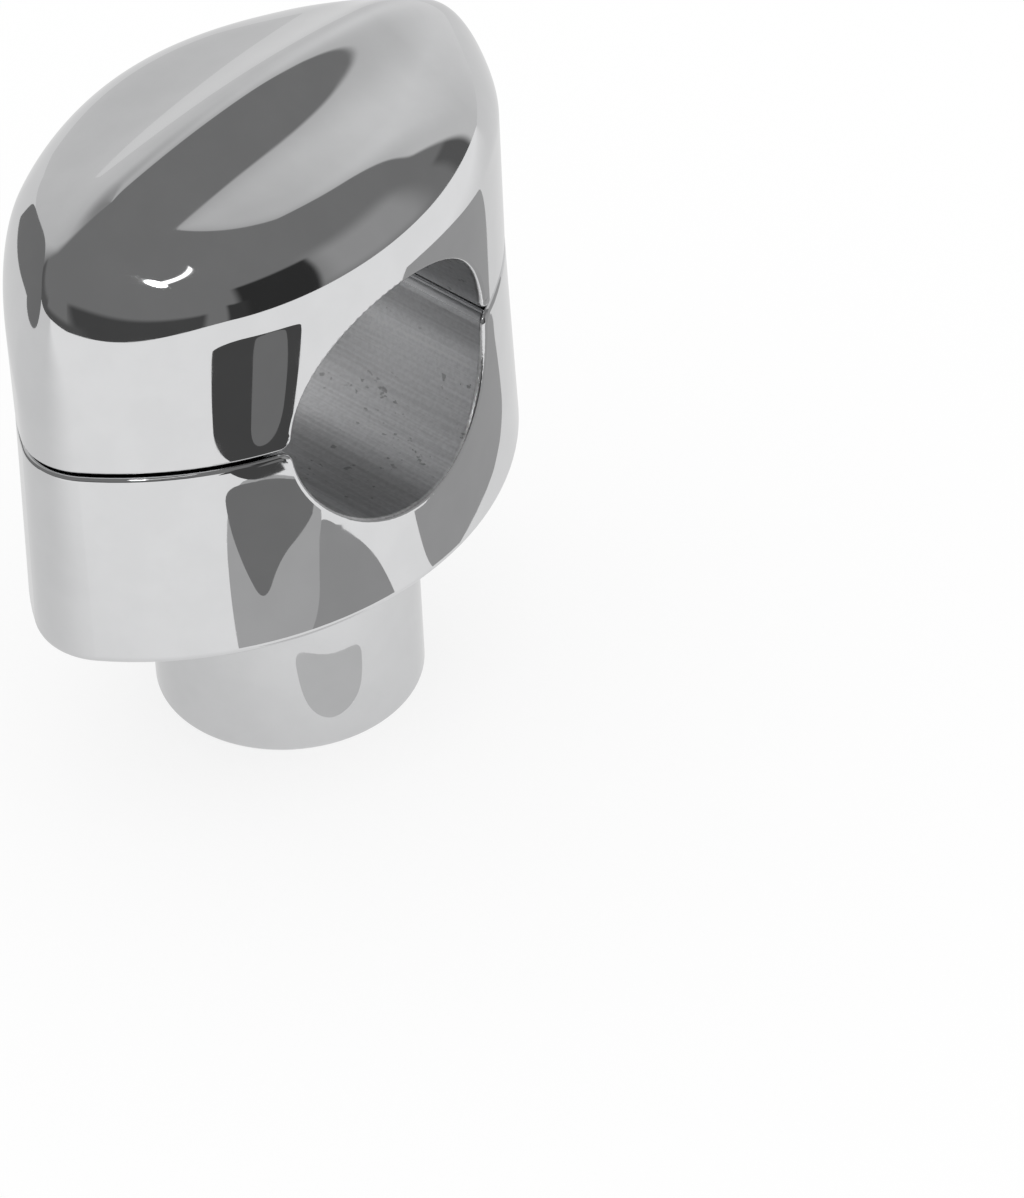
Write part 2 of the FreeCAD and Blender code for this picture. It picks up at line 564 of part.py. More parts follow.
def make_washer(label, sign):
    """A split lock washer, closed flat, with its lower face at its own origin."""
    body = new_body(label)
    plan = new_sketch(body, "washer_plan", "XY_Plane")
    draw_circle(plan, "Outer", "<WasherDia>")
    draw_circle(plan, "Inner", "<ScrewDia> + 2 * <HoleClearance>")
    ring = body.newObject("PartDesign::Pad", "washer_ring")
    ring.Profile = plan
    ring.setExpression("Length", cell("<WasherThickness>"))
    split_plan = new_sketch(body, "split_profile", "YZ_Plane")
    thick = value["WasherThickness"]
    half = value["WasherSplit"] / 2
    lean = (thick / 2 + CUT_MARGIN) * math.tan(math.radians(value["SplitSlant"]))
    low = -CUT_MARGIN
    high = thick + CUT_MARGIN
    shift = "(<WasherThickness> / 2 + %.1f) * tan(<SplitSlant>)" % CUT_MARGIN
    draw_profile(split_plan, [
        (-half - lean, low, "<WasherSplit> / 2 + " + shift, "%.1f" % CUT_MARGIN),
        (half - lean, low, "-<WasherSplit> / 2 + " + shift, "%.1f" % CUT_MARGIN),
        (half + lean, high, "<WasherSplit> / 2 + " + shift, "<WasherThickness> + %.1f" % CUT_MARGIN),
        (-half + lean, high, "-<WasherSplit> / 2 + " + shift, "<WasherThickness> + %.1f" % CUT_MARGIN),
    ], ["LowLeft", "LowRight", "HighRight", "HighLeft"])
    split = body.newObject("PartDesign::Pocket", "washer_split")
    split.Profile = split_plan
    split.Reversed = True
    split.setExpression("Length", cell("<WasherDia>"))
    body.Tip = split
    body.setExpression("Placement.Base.y", cell("%d * %s" % (sign, SCREW_PLACE)))
    body.setExpression("Placement.Base.z", cell(HEAD_SEAT))
    return body


parts = [make_riser_body(), make_clamp_cap()]
for place, direction in (("front", -1), ("rear", 1)):
    parts.append(make_screw("cap_screw_" + place, direction))
    parts.append(make_washer("lock_washer_" + place, direction))
doc.recompute()

for item in doc.Objects:
    if "Invalid" in item.State or "Error" in item.State:
        raise RuntimeError("%s failed: %s" % (item.Label, item.State))
for part in parts:
    if part.Shape.isNull() or not part.Shape.isValid() or len(part.Shape.Solids) != 1:
        raise RuntimeError("%s has no single valid solid" % part.Label)

os.makedirs("parts", exist_ok=True)
for part in parts:
    part.Shape.exportStep("parts/%s.step" % part.Label)
    box = part.Shape.BoundBox
    print("%-20s volume %9.1f  x %7.2f %7.2f  y %7.2f %7.2f  z %7.2f %7.2f" % (
        part.Label, part.Shape.Volume, box.XMin, box.XMax, box.YMin, box.YMax, box.ZMin, box.ZMax))
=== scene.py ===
import math

import bpy
import numpy as np
from mathutils import Matrix, Vector


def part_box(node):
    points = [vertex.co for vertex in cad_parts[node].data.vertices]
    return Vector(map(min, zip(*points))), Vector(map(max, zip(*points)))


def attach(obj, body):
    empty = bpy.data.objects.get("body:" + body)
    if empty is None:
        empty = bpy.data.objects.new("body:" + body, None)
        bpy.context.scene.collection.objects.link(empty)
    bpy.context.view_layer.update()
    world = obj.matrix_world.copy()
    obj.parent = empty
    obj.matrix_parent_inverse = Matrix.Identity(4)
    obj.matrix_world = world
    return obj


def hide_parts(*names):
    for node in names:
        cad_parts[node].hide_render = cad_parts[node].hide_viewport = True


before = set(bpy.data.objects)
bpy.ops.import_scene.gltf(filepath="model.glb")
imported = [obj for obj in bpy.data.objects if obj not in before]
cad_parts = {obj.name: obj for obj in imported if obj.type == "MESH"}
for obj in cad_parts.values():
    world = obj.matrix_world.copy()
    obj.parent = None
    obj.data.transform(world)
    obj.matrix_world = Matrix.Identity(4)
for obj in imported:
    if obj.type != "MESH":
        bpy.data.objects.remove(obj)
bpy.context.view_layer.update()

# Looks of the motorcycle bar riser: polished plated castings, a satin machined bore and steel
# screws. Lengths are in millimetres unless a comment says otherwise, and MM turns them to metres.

MM = 0.001

# The bore's axis lies midway in the seam, between the cap's lowest and the body's highest point.
BORE_AXIS_Z = (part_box("clamp_cap")[0].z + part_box("riser_body")[1].z) / 2     # metres
BORE_RADIUS = 12.7

# The camera's place in the part's own frame. The heading is measured from +Y towards -X.
CAMERA_HEADING = math.radians(43.53)
CAMERA_PITCH = math.radians(40.27)
CAMERA_ROLL = math.radians(2.67)
CAMERA_PLACE = Vector((322.14, -307.02, 383.41)) * MM
FOCAL_PIXELS = 6029.2
IMAGE_WIDTH = 1024
IMAGE_HEIGHT = 1198
CENTRE_X = 514.8
CENTRE_Y = 598.3


def add_camera():
    """A long lens that looks down on the part, as the photograph does."""
    forward = Vector((-math.sin(CAMERA_HEADING) * math.cos(CAMERA_PITCH),
                      math.cos(CAMERA_HEADING) * math.cos(CAMERA_PITCH), -math.sin(CAMERA_PITCH)))
    level = Vector((math.cos(CAMERA_HEADING), math.sin(CAMERA_HEADING), 0))
    down = forward.cross(level)
    right = level * math.cos(CAMERA_ROLL) + down * math.sin(CAMERA_ROLL)
    up = -(down * math.cos(CAMERA_ROLL) - level * math.sin(CAMERA_ROLL))
    data = bpy.data.cameras.new("camera")
    data.sensor_fit = "VERTICAL"
    data.sensor_height = 36.0
    data.lens = FOCAL_PIXELS / IMAGE_HEIGHT * data.sensor_height
    data.shift_x = (IMAGE_WIDTH / 2 - CENTRE_X) / IMAGE_HEIGHT
    data.shift_y = (CENTRE_Y - IMAGE_HEIGHT / 2) / IMAGE_HEIGHT
    data.clip_end = 50
    camera = bpy.data.objects.new("camera", data)
    camera.matrix_world = Matrix.Translation(CAMERA_PLACE) @ Matrix(
        (right, up, -forward)).transposed().to_4x4()
    bpy.context.scene.collection.objects.link(camera)
    bpy.context.scene.camera = camera


# The cap's cast form, from the bore's axis. Its plan is two long side arcs joined by two small
# end arcs.
END_ARC = 6.6
HALF_WIDTH = 18.7
HALF_LENGTH = 29.0
SIDE_ARC = ((HALF_LENGTH - END_ARC) ** 2 / (HALF_WIDTH - END_ARC) + END_ARC + HALF_WIDTH) / 2
SIDE_CENTRE = SIDE_ARC - HALF_WIDTH
END_CENTRE = HALF_LENGTH - END_ARC
ARC_JOINT = math.atan2(END_CENTRE, SIDE_CENTRE)
# Its top is a crest along Y with a hollow on each side.
CREST = 26.36
CROWN_ARC = 110.0
CROWN_SHIFT = 2.04
RIDGE = 1.85
FLANK_START = math.radians(37.32)
FLANK_END = math.radians(4.56)
HOLLOW_ARC = 19.32
NOSES = ((-1, 14.34, 16.33), (1, 18.68, 16.20))    # side, side-view arc, where the arc starts
FRONT_ROLL, REAR_ROLL, MIDDLE_ROLL = 4.14, 3.0, 7.65
# The form's lowest ring runs just above the seam and, in an arc, over the bore's mouth.
RING_LOW, RING_HIGH = 1.3, 13.35
RING_ARC = 14.0
WALL_ROWS, TOP_ROWS = 10, 100
WALL_RISE = 34.0       # degrees up to which the rows only smooth out the lowest ring
END_POINTS, SIDE_POINTS = 40, 180
# Each ray starts on the long middle line, this share of its outline point's Y away from the
# bore's axis, and the form lies between its start and its reach.
START_SHARE = 0.8
RAY_REACH = 45.0
HALVINGS = 44
DISTANCE_LIMIT = 60.0
# What the visual cap keeps of the source's cap.
ON_WALL = 0.02         # nearer to the outline than this is the old wall
BORE_KEPT = 13.6       # reach of the bore and its rolled rims from the bore's axis
HOLE_PLACE = 19.95     # the tapped holes' distance from the middle
HOLE_KEPT = (4.6, 18.6)    # reach from the hole's axis, and height
LAND_KEPT = 1.2        # height up to which the lands and their edges reach


def smooth(value):
    """A soft step from 0 to 1."""
    value = np.clip(value, 0, 1)
    return value * value * (3 - 2 * value)


def plan_distance(x, y):
    """Signed distance from the leaf-shaped outline, negative inside."""
    x, y = np.abs(x), np.abs(y)
    side = np.hypot(x + SIDE_CENTRE, y) - SIDE_ARC
    end = np.hypot(x, y - END_CENTRE) - END_ARC
    return np.where(np.arctan2(y, x + SIDE_CENTRE) < ARC_JOINT, side, end)


def crest_height(y):
    """Height of the crest: a crown, less the fall of the nose at each end."""
    # Both clips only keep the square roots real, beyond the outline.
    y = np.clip(y, -1.5 * HALF_LENGTH, 1.5 * HALF_LENGTH)
    height = CREST - CROWN_ARC + np.sqrt(CROWN_ARC ** 2 - (y - CROWN_SHIFT) ** 2)
    for side, arc, start in NOSES:
        past = np.clip(side * y - start, 0, 0.97 * arc)
        height = height - (arc - np.sqrt(arc ** 2 - past ** 2))
    return height


def top_height(x, y):
    """The crest, less the fall of its flank: a hollow arc, then a nearly level run."""
    x = np.sqrt(x * x + RIDGE ** 2) - RIDGE
    hollow_end = HOLLOW_ARC * (math.sin(FLANK_START) - math.sin(FLANK_END))
    slope = math.sin(FLANK_START) - np.minimum(x, hollow_end) / HOLLOW_ARC
    fall = HOLLOW_ARC * (np.sqrt(1 - slope ** 2) - math.cos(FLANK_START))
    return crest_height(y) - fall - np.maximum(x - hollow_end, 0) * math.tan(FLANK_END)


def form_distance(points):
    """Negative inside the cast form: its top and its wall, joined by a rolled shoulder."""
    x, y, z = points[..., 0], points[..., 1], points[..., 2]
    step = 0.05
    height = top_height(x, y)
    lean_x = (top_height(x + step, y) - height) / step
    lean_y = (top_height(x, y + step) - height) / step
    above = (z - height) / np.sqrt(1 + lean_x ** 2 + lean_y ** 2)
    above = np.clip(above, -DISTANCE_LIMIT, DISTANCE_LIMIT)
    beside = plan_distance(x, y)
    along = np.clip(y / HALF_LENGTH, -1, 1)
    end_roll = np.where(along < 0, FRONT_ROLL, REAR_ROLL)
    roll = end_roll + (MIDDLE_ROLL - end_roll) * smooth(1 - along ** 2)
    return (np.minimum(np.maximum(above, beside), -roll)
            + np.hypot(np.maximum(above + roll, 0), np.maximum(beside + roll, 0)))


def form_normals(points):
    """The form's outward normals, from how its distance changes over a small step."""
    step = 0.02
    slopes = []
    for axis in range(3):
        shift = np.zeros(3)
        shift[axis] = step
        slopes.append(form_distance(points + shift) - form_distance(points - shift))
    normals = np.stack(slopes, -1)
    return normals / np.linalg.norm(normals, axis=-1, keepdims=True)


def outline_points():
    """Half of the plan's outline, from the front tip to the rear tip on the +X side."""
    end = np.linspace(math.pi / 2, ARC_JOINT, END_POINTS)
    end_xy = np.stack([END_ARC * np.cos(end), END_CENTRE + END_ARC * np.sin(end)], 1)
    side = np.linspace(ARC_JOINT, -ARC_JOINT, SIDE_POINTS)
    side_xy = np.stack([SIDE_ARC * np.cos(side) - SIDE_CENTRE, SIDE_ARC * np.sin(side)], 1)
    rear_to_front = np.concatenate([end_xy, side_xy[1:-1], end_xy[::-1] * (1, -1)])
    rear_to_front[0, 0] = rear_to_front[-1, 0] = 0
    return rear_to_front[::-1]


def outline_angle(x, y):
    """Where a point lies round the outline, turning once from the front tip."""
    turn = np.arctan2(x, -y)
    return np.where(turn < 0, turn + 2 * math.pi, turn)


def form_grid():
    """Rings of points from the wall up to the crest, each found along its own ray."""
    half = outline_points()
    ring = np.concatenate([half, (half * (-1, 1))[-2:0:-1]])
    over_mouth = np.sqrt(np.maximum(RING_ARC ** 2 - ring[:, 1] ** 2, 0))
    lowest = np.clip(over_mouth, RING_LOW, RING_HIGH)
    start = np.stack([np.zeros(len(ring)), START_SHARE * ring[:, 1], np.full(len(ring), RING_LOW)], 1)
    outward = np.zeros((len(ring), 3))
    outward[:, :2] = ring - start[:, :2]
    reach = np.linalg.norm(outward, axis=1)
    outward /= reach[:, None]
    first = np.degrees(np.arctan2(lowest - RING_LOW, reach))
    share = np.linspace(0, 1, WALL_ROWS, endpoint=False)[:, None]
    wall_rise = first * (1 - share) + WALL_RISE * share
    top_rise = np.repeat(np.linspace(WALL_RISE, 90, TOP_ROWS)[:, None], len(ring), axis=1)
    rise = np.radians(np.concatenate([wall_rise, top_rise]))[..., None]
    direction = np.cos(rise) * outward[None] + np.sin(rise) * np.array((0, 0, 1.0))
    low = np.zeros(direction.shape[:2])
    high = np.full(direction.shape[:2], RAY_REACH)
    for _ in range(HALVINGS):
        middle = (low + high) / 2
        outside = form_distance(start[None] + middle[..., None] * direction) > 0
        high = np.where(outside, middle, high)
        low = np.where(outside, low, middle)
    points = start[None] + ((low + high) / 2)[..., None] * direction
    points[0, :, :2] = ring
    points[0, :, 2] = lowest
    return points


def welded_mesh(mesh):
    """The mesh's points in millimetres from the bore's axis, its faces and their corner normals."""
    places = {}
    points = []
    index = []
    for vertex in mesh.vertices:
        key = tuple(round(c / MM, 4) for c in vertex.co)
        if key not in places:
            places[key] = len(points)
            points.append((vertex.co.x / MM, vertex.co.y / MM, (vertex.co.z - BORE_AXIS_Z) / MM))
        index.append(places[key])
    faces = []
    for polygon in mesh.polygons:
        corners = [index[mesh.loops[i].vertex_index] for i in polygon.loop_indices]
        normals = [tuple(mesh.corner_normals[i].vector) for i in polygon.loop_indices]
        if len(set(corners)) == len(corners):
            faces.append((corners, normals))
    return np.array(points), faces


def inner_faces(points, faces):
    """The faces of the clamp's inside: its bore, its lands, its edges and its tapped holes."""
    kept = []
    for corners, normals in faces:
        spots = points[corners]
        centre = spots.mean(0)
        on_wall = np.all(np.abs(plan_distance(spots[:, 0], spots[:, 1])) < ON_WALL)
        near_bore = np.all(np.hypot(spots[:, 1], spots[:, 2]) < BORE_KEPT)
        from_hole = math.hypot(centre[0], abs(centre[1]) - HOLE_PLACE)
        near_hole = from_hole < HOLE_KEPT[0] and centre[2] < HOLE_KEPT[1]
        low = np.all(spots[:, 2] < LAND_KEPT)
        if not on_wall and (near_bore or near_hole or low):
            kept.append((corners, normals))
    return kept


def rim_loop(points, faces):
    """The kept faces' open edge, which lies on the outline, as one ring of point numbers."""
    edges = {(first, second) for corners, _ in faces
             for first, second in zip(corners, corners[1:] + corners[:1])}
    following = {second: first for first, second in edges if (second, first) not in edges}
    ring = [min(following, key=lambda number: points[number, 1])]
    while following[ring[-1]] != ring[0]:
        ring.append(following[ring[-1]])
    return ring


def wall_normal(point):
    """The level normal of the upright wall at a point."""
    step = 0.01
    x, y = point[0], point[1]
    lean = (float(plan_distance(x + step, y) - plan_distance(x - step, y)),
            float(plan_distance(x, y + step) - plan_distance(x, y - step)), 0.0)
    size = math.hypot(lean[0], lean[1])
    return (lean[0] / size, lean[1] / size, 0.0)


def strip_between(points, lower, upper):
    """Triangles that join two rings on the wall, always by the shorter of the next two diagonals."""
    rings = []
    for ring in (lower, upper):
        first = int(np.argmin(outline_angle(points[ring, 0], points[ring, 1])))
        rings.append(ring[first:] + ring[:first + 1])
    lower, upper = rings
    triangles = []
    low = high = 0
    while low < len(lower) - 1 or high < len(upper) - 1:
        spans = []
        for a, b in ((low + 1, high), (low, high + 1)):
            past = a >= len(lower) or b >= len(upper)
            spans.append(math.inf if past else np.linalg.norm(points[lower[a]] - points[upper[b]]))
        if spans[0] <= spans[1]:
            triangles.append((lower[low], lower[low + 1], upper[high]))
            low += 1
        else:
            triangles.append((lower[low], upper[high + 1], upper[high]))
            high += 1
    return triangles


def add_object(name, mesh):
    """A new object with this mesh, in the scene."""
    added = bpy.data.objects.new(name, mesh)
    bpy.context.scene.collection.objects.link(added)
    return added


def make_cap(material):
    """The cap with its cast form: the source's inside, joined to a finer top and wall."""
    points, faces = welded_mesh(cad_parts["clamp_cap"].data)
    faces = inner_faces(points, faces)
    rim = rim_loop(points, faces)
    grid = form_grid()
    rows, columns = grid.shape[:2]
    grid_normals = form_normals(grid)
    grid_normals[0] = [wall_normal(point) for point in grid[0]]
    number = len(points) + np.arange(rows * columns).reshape(rows, columns)
    for column in range(columns // 2 + 1, columns):
        number[-1, column] = number[-1, columns - column]
    all_points = np.concatenate([points, grid.reshape(-1, 3)])
    crest_normals = np.array([(0.0, n[1], n[2]) for n in grid_normals[-1]])
    grid_normals[-1] = crest_normals / np.linalg.norm(crest_normals, axis=1, keepdims=True)
    flat_normals = grid_normals.reshape(-1, 3)
    for row in range(rows - 1):
        for column in range(columns):
            beside = (column + 1) % columns
            corners = [number[row, column], number[row, beside],
                       number[row + 1, beside], number[row + 1, column]]
            faces.append(([int(c) for c in corners],
                          [tuple(flat_normals[c - len(points)]) for c in corners]))
    for triangle in strip_between(all_points, rim, [int(n) for n in number[0]]):
        faces.append((list(triangle), [wall_normal(all_points[n]) for n in triangle]))
    used = sorted({n for corners, _ in faces for n in corners})
    renumbered = {n: i for i, n in enumerate(used)}
    places = [Vector((x, y, z)) * MM + Vector((0, 0, BORE_AXIS_Z)) for x, y, z in all_points[used]]
    mesh = bpy.data.meshes.new("cast_cap")
    mesh.from_pydata(places, [], [[renumbered[n] for n in corners] for corners, _ in faces])
    mesh.polygons.foreach_set("use_smooth", [True] * len(mesh.polygons))
    mesh.normals_split_custom_set([normal for _, normals in faces for normal in normals])
    mesh.materials.append(material)
    cap = add_object("cast_cap", mesh)
    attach(cap, "cap")
    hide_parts("clamp_cap")


# The screws, from each screw's bearing face, with the source's sizes.
SEAT_HEIGHT = 29.54    # height of the bearing faces above the ground
HEAD_RADIUS, HEAD_HEIGHT, HEAD_EDGE = 5.95, 7.94, 0.6
EDGE_STEPS = 7
SMALL_CHAMFER = 0.15   # at the socket's mouth and the bearing face's rim
SHANK_RADIUS, SCREW_LENGTH, TIP_CHAMFER = 3.97, 25.4, 1.0
SOCKET_FLATS, SOCKET_DEPTH = 6.35, 4.0
THREAD_PITCH, THREAD_DEPTH, THREAD_START = 1.411, 0.75, 2.0
GROOVE_SLOPE, CREST_FLAT = 1.25, 0.12
SCREW_COLUMNS, THREAD_ROWS = 96, 288
SHARP_ANGLE = math.radians(50)


def screw_rows(turn):
    """Rings of radius and height, from the socket's floor out over the head and up to the tip."""
    sector = np.mod(turn, math.pi / 3) - math.pi / 6
    socket = SOCKET_FLATS / 2 / np.cos(sector)
    rows = [(socket, SOCKET_DEPTH - HEAD_HEIGHT), (socket, SMALL_CHAMFER - HEAD_HEIGHT),
            (socket + SMALL_CHAMFER, -HEAD_HEIGHT)]
    for angle in np.radians(np.linspace(0, 90, EDGE_STEPS)):
        rows.append((HEAD_RADIUS - HEAD_EDGE + HEAD_EDGE * math.sin(angle),
                     HEAD_EDGE - HEAD_HEIGHT - HEAD_EDGE * math.cos(angle)))
    rows += [(HEAD_RADIUS, -SMALL_CHAMFER), (HEAD_RADIUS - SMALL_CHAMFER, 0.0), (SHANK_RADIUS, 0.0)]
    for height in np.linspace(0.1, SCREW_LENGTH, THREAD_ROWS):
        phase = np.mod(height / THREAD_PITCH - turn / (2 * math.pi), 1.0)
        groove = smooth(GROOVE_SLOPE * np.abs(2 * phase - 1) - CREST_FLAT)
        depth = THREAD_DEPTH * groove * smooth((height - THREAD_START) / THREAD_PITCH)
        tip = SHANK_RADIUS - max(height - (SCREW_LENGTH - TIP_CHAMFER), 0.0)
        rows.append((np.minimum(SHANK_RADIUS - depth, tip), height))
    return rows


def make_screw(side, sign, material):
    """A socket-head cap screw with a cut thread."""
    turn = np.linspace(0, 2 * math.pi, SCREW_COLUMNS, endpoint=False)
    points = [(0.0, 0.0, SOCKET_DEPTH - HEAD_HEIGHT)]
    rows = screw_rows(turn)
    for radius, height in rows:
        radii = np.broadcast_to(radius, turn.shape)
        points += [(r * math.cos(t), r * math.sin(t), height) for r, t in zip(radii, turn)]
    points.append((0.0, 0.0, SCREW_LENGTH))
    faces = []
    for column in range(SCREW_COLUMNS):
        beside = (column + 1) % SCREW_COLUMNS
        faces.append((0, 1 + beside, 1 + column))
        for row in range(len(rows) - 1):
            low, high = 1 + row * SCREW_COLUMNS, 1 + (row + 1) * SCREW_COLUMNS
            faces.append((low + column, low + beside, high + beside, high + column))
        last = 1 + (len(rows) - 1) * SCREW_COLUMNS
        faces.append((last + column, last + beside, len(points) - 1))
    name = "threaded_screw_" + side
    mesh = bpy.data.meshes.new(name)
    mesh.from_pydata([Vector((x, y + sign * HOLE_PLACE, z + SEAT_HEIGHT)) * MM for x, y, z in points],
                     [], faces)
    mesh.polygons.foreach_set("use_smooth", [True] * len(mesh.polygons))
    mesh.set_sharp_from_angle(angle=SHARP_ANGLE)
    mesh.materials.append(material)
    screw = add_object(name, mesh)
    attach(screw, "screw_" + side)
    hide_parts("cap_screw_" + side)


def new_material(name):
    """A material, its node tree and its shader."""
    material = bpy.data.materials.new(name)
    material.use_nodes = True
    return material, material.node_tree, material.node_tree.nodes["Principled BSDF"]


def add_node(tree, kind, sockets=(), **settings):
    """A node with its settings, and with each socket set to a value or linked to an output."""
    node = tree.nodes.new(kind)
    for name, setting in settings.items():
        setattr(node, name, setting)
    for name, source in dict(sockets).items():
        socket = node.inputs[name]
        if isinstance(source, bpy.types.NodeSocket):
            tree.links.new(source, socket)
        else:
            socket.default_value = source
    return node


def calculate(tree, operation, *terms):
    """One Math node; each term is a number or another node's output."""
    return add_node(tree, "ShaderNodeMath", dict(enumerate(terms)), operation=operation).outputs[0]


def ramp(tree, source, low, high, start=0.0, end=1.0, curve="SMOOTHSTEP"):
    """The source between two values, as a smooth step from start to end."""
    return add_node(tree, "ShaderNodeMapRange", {
        "Value": source, "From Min": low, "From Max": high, "To Min": start, "To Max": end},
        interpolation_type=curve).outputs["Result"]


def spread(tree, texture, start, end):
    """The middle of a noise texture's range, spread between two values."""
    return ramp(tree, texture, 0.3, 0.7, start, end)


def mixed(tree, amount, first, second):
    """The first value where the amount is 0, the second where it is 1."""
    return calculate(tree, "ADD", first, calculate(tree, "MULTIPLY", amount,
                                                   calculate(tree, "SUBTRACT", second, first)))


def distance_from(tree, across, along):
    """The length of a vector of two parts."""
    return calculate(tree, "SQRT", calculate(tree, "ADD", calculate(tree, "MULTIPLY", across, across),
                                             calculate(tree, "MULTIPLY", along, along)))


def noise(tree, place, scale, detail=2.0):
    return add_node(tree, "ShaderNodeTexNoise", {"Vector": place, "Scale": scale, "Detail": detail}
                    ).outputs["Fac"]


def part_place(tree, stretch=(1, 1, 1)):
    """Place on the part, in metres, stretched to draw out a texture along an axis."""
    place = add_node(tree, "ShaderNodeTexCoord").outputs["Object"]
    return add_node(tree, "ShaderNodeMapping", {"Vector": place, "Scale": stretch}).outputs["Vector"]


def finish_metal(tree, shader, shade, tint, roughness, relief, strength, depth):
    """Sets a metal's colour, tinted in green and blue, its roughness and its relief."""
    colour = add_node(tree, "ShaderNodeCombineColor", {
        "Red": shade, "Green": calculate(tree, "MULTIPLY", shade, tint[0]),
        "Blue": calculate(tree, "MULTIPLY", shade, tint[1])})
    bump = add_node(tree, "ShaderNodeBump", {
        "Height": relief, "Strength": strength, "Distance": depth * MM})
    shader.inputs["Metallic"].default_value = 1.0
    tree.links.new(colour.outputs["Color"], shader.inputs["Base Color"])
    tree.links.new(roughness, shader.inputs["Roughness"])
    tree.links.new(bump.outputs["Normal"], shader.inputs["Normal"])


def around_screw(tree, place):
    """Height, and the two parts of the way from the nearer screw's axis."""
    split = add_node(tree, "ShaderNodeSeparateXYZ", {"Vector": place})
    away = calculate(tree, "ABSOLUTE", split.outputs["Y"])
    return (split.outputs["Z"], split.outputs["X"],
            calculate(tree, "SUBTRACT", away, HOLE_PLACE * MM))


# Painted reflection and shade round the bore, as broad bands by angle: where each is, in degrees from +Y,
# and its shade.
BORE_PAINTED_BANDS = ((-180, 0.6), (-125, 0.8), (-115, 0.5), (-90, 0.5), (-75, 0.85), (-50, 0.75), (-25, 0.9),
                (-15, 0.6), (5, 0.75), (10, 0.5), (180, 0.6))
BORE_EDGE = (0.25, 0.05)   # beyond the bore's radius, where its satin fades in
CHROME_SHADE, CHROME_ROUGHNESS, CHROME_TINT = (0.655, 0.675), (0.015, 0.05), (1.004, 1.014)
BORE_ROUGHNESS = (0.30, 0.40)
# Textures of the casting: their scales for each metre, along X, Y and Z where three are given.
MACHINING_MARKS = (40, 3200, 3200)
PIT_SHAPES = (1100, 1700, 1700)
PIT_AREAS, GRIT, BUFFING, SWELL = 210.0, 2600.0, 260.0, 95.0
PIT_EDGE, PIT_AREA_EDGE = (0.62, 0.70), (0.46, 0.58)
# How far each of them lightens or darkens the bore, and how strong it is in the relief.
MARK_SHADES, GRIT_SHADES, PIT_SHADE = (0.96, 1.18), (0.93, 1.04), 0.62
MARK_RELIEF, PIT_RELIEF = 0.2, 0.3


def painted_bore_bands(tree, turn):
    """The painted bands of reflection and shade, as a ramp over the angle round the bore."""
    band_ramp = add_node(tree, "ShaderNodeValToRGB", {
        "Fac": ramp(tree, turn, -math.pi, math.pi, curve="LINEAR")})
    stops = band_ramp.color_ramp.elements
    for number, (angle, shade) in enumerate(BORE_PAINTED_BANDS):
        position = (angle + 180) / 360
        if number == 0:
            stop = stops[0]
        elif number == len(BORE_PAINTED_BANDS) - 1:
            stop = stops[-1]
        else:
            stop = stops.new(position)
        stop.position = position
        stop.color = (shade, shade, shade, 1)
    return band_ramp.outputs["Color"]


def casting():
    """Polished chrome, with a satin machined bore whose colour holds painted bands of reflection and
    shade.
    """
    material, tree, shader = new_material("plated_casting")
    place = part_place(tree)
    split = add_node(tree, "ShaderNodeSeparateXYZ", {"Vector": place})
    height = calculate(tree, "SUBTRACT", split.outputs["Z"], BORE_AXIS_Z)
    off_axis = distance_from(tree, split.outputs["Y"], height)
    in_bore = ramp(tree, off_axis, *((BORE_RADIUS + edge) * MM for edge in BORE_EDGE))
    fine = noise(tree, part_place(tree, MACHINING_MARKS), 1.0, 3.0)
    pits = noise(tree, part_place(tree, PIT_SHAPES), 1.0, 2.0)
    pit = calculate(tree, "MULTIPLY", ramp(tree, pits, *PIT_EDGE),
                    ramp(tree, noise(tree, place, PIT_AREAS), *PIT_AREA_EDGE))
    buffing = noise(tree, place, BUFFING, 3.0)
    # The bore's colour starts from painted bands of reflection and shade by angle, and the machining
    # marks, grit and pits go on top.
    bore_shade = painted_bore_bands(tree, calculate(tree, "ARCTAN2", height, split.outputs["Y"]))
    for mark in (ramp(tree, fine, 0.25, 0.75, *MARK_SHADES),
                 spread(tree, noise(tree, place, GRIT), *GRIT_SHADES),
                 ramp(tree, pit, 0.0, 1.0, 1.0, PIT_SHADE)):
        bore_shade = calculate(tree, "MULTIPLY", bore_shade, mark)
    shade = mixed(tree, in_bore, spread(tree, buffing, *CHROME_SHADE), bore_shade)
    roughness = mixed(tree, in_bore, spread(tree, buffing, *CHROME_ROUGHNESS),
                      spread(tree, fine, *BORE_ROUGHNESS))
    bore_relief = calculate(tree, "SUBTRACT", calculate(tree, "MULTIPLY", fine, MARK_RELIEF),
                            calculate(tree, "MULTIPLY", pit, PIT_RELIEF))
    relief = mixed(tree, in_bore, noise(tree, place, SWELL, 1.0), bore_relief)
    finish_metal(tree, shader, shade, CHROME_TINT, roughness, relief, strength=0.35, depth=0.05)
    return material


KNURLS, KNURL_SLANT = 90.0, 0.42     # lines round the head, and their rise over one line
HEAD_SKIN = (0.15, 0.05)   # below the head's radius, where the knurl fades in
# Painted shade in the thread's groove: darker between these radii, and above these heights.
GROOVE_RADII, GROOVE_PAINTED_SHADE = (3.85, 3.3), 0.7
GROOVE_LOW = (31.0, 31.4)  # heights above the ground, where the groove's shade fades in
ZINC_SHADE, ZINC_ROUGHNESS, ZINC_TINT = (0.56, 0.64), (0.22, 0.34), (1.01, 1.045)
WIRE_SHADE, WIRE_ROUGHNESS, WIRE_TINT = (0.42, 0.52), (0.30, 0.46), (1.0, 1.03)
WIRE_MARK_SHADES = (0.9, 1.05)


